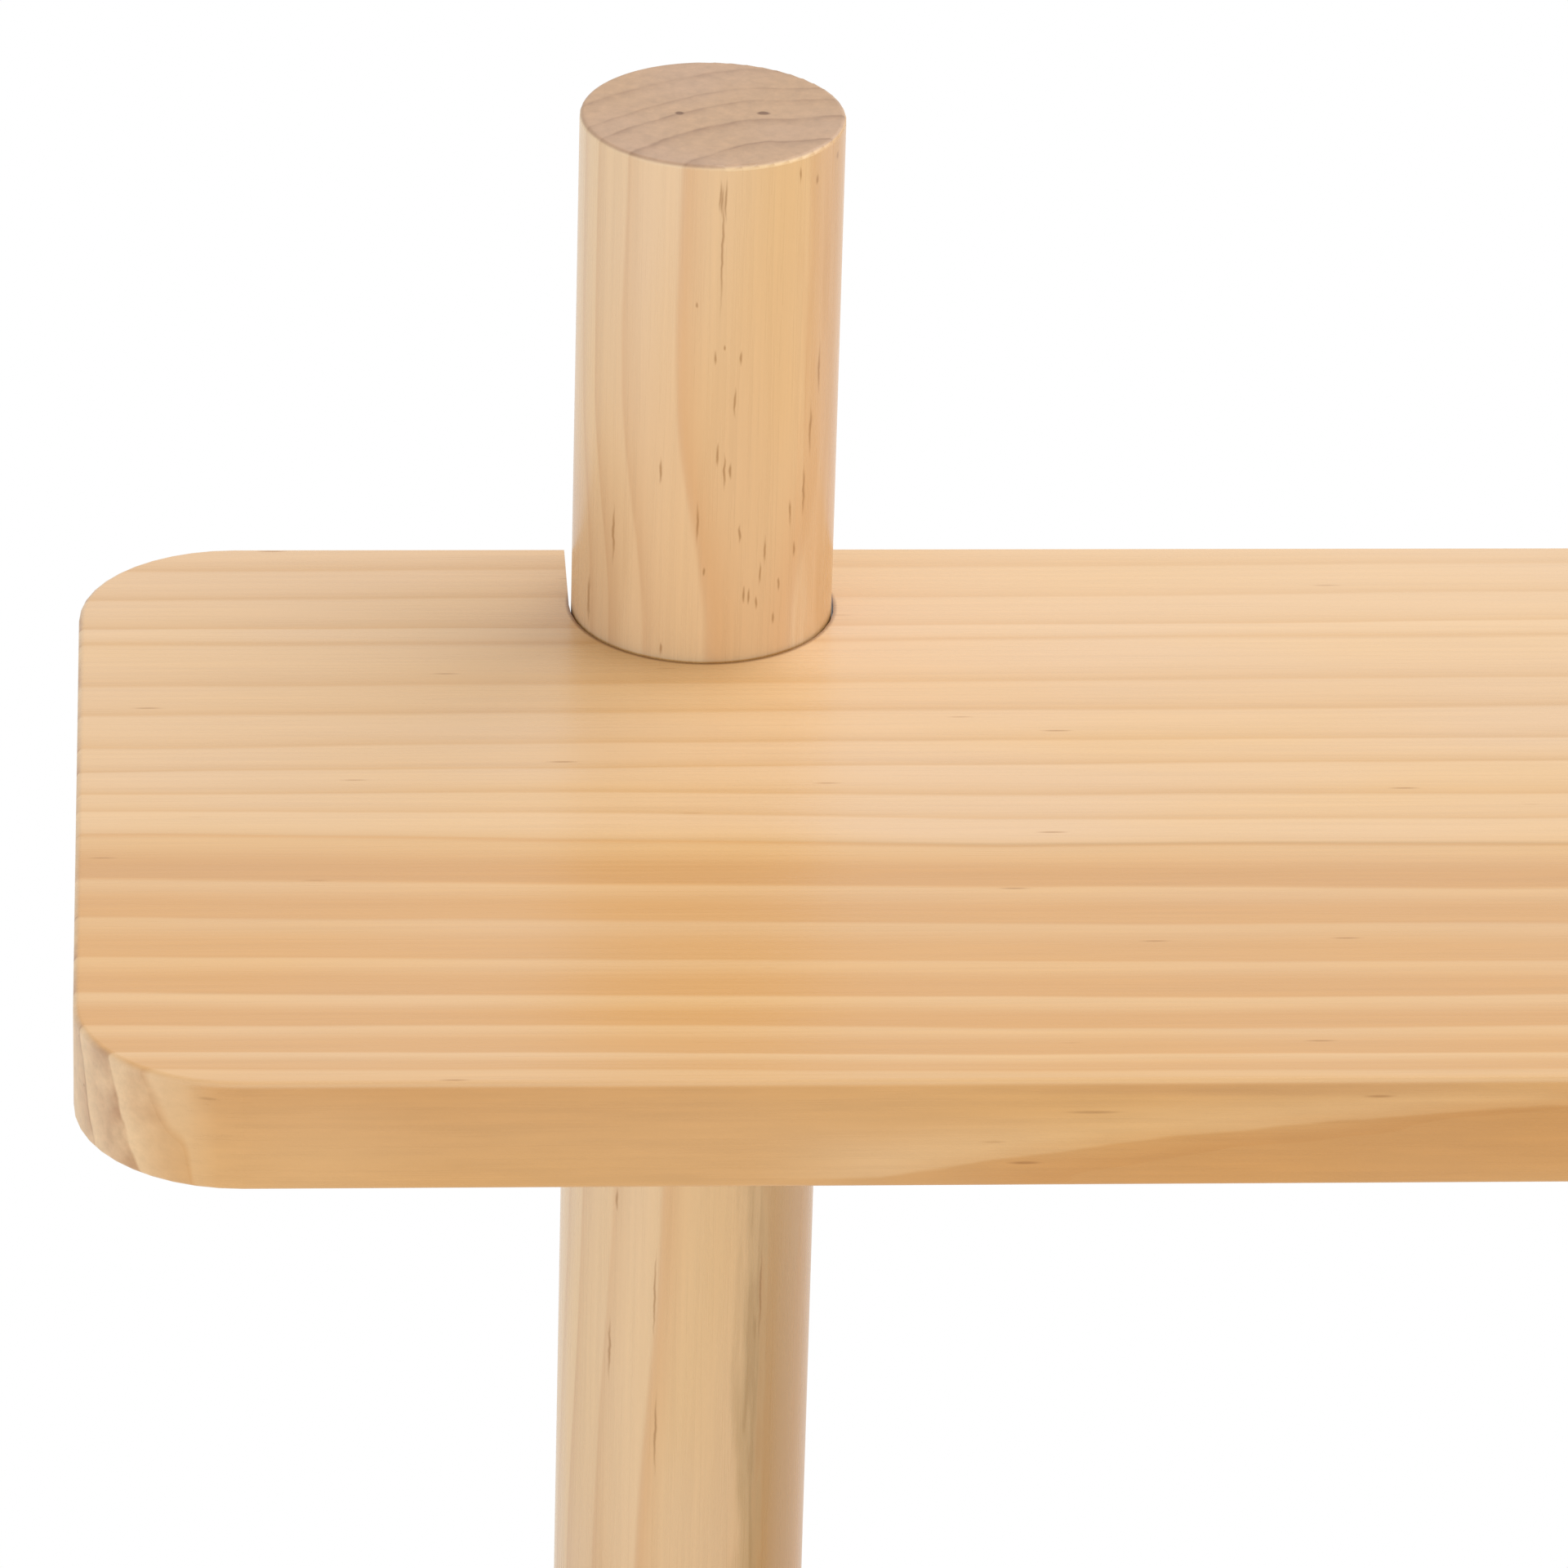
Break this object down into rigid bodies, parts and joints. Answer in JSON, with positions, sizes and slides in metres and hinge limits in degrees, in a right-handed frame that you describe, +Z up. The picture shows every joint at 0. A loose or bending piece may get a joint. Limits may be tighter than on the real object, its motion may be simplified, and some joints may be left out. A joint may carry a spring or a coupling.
{
  "type": "wall shelf with peg rail",
  "caption": "Wall-hung pine shelf with rounded corners, notched round two round posts, over a board of turned mushroom-headed pegs; bolted together from behind.",
  "frame": {"origin": "centre of the rectangle of the four wall screw holes, on the wall plane that the posts' backs and the shelf's back edge touch", "axes": "+X along the shelf to the right as seen from the room, +Y into the wall, +Z up"},
  "size_m": [0.9, 0.18, 0.42],
  "materials": {
    "pine_shelf": "pine under a clear satin lacquer, straight grain along the board",
    "pine_post": "pine under a clear satin lacquer, turned, grain along the post",
    "pine_rail": "pine under a clear satin lacquer, straight grain along the board",
    "pine_peg": "pine under a clear satin lacquer, turned, grain along the peg",
    "zinc_plated_steel": "bright zinc plating",
    "zinc_alloy": "plain cast zinc alloy"
  },
  "bodies": {
    "root": {"shelf_board": "pine_shelf", "post_left": "pine_post", "post_right": "pine_post", "peg_rail": "pine_rail", "peg_1": "pine_peg", "peg_2": "pine_peg", "peg_3": "pine_peg", "peg_4": "pine_peg", "peg_5": "pine_peg", "peg_6": "pine_peg", "shelf_bolts": "zinc_plated_steel", "rail_bolts": "zinc_plated_steel", "bolt_washers": "zinc_plated_steel", "barrel_nuts": "zinc_plated_steel", "rail_insert_nuts": "zinc_alloy"}
  },
  "joints": []
}
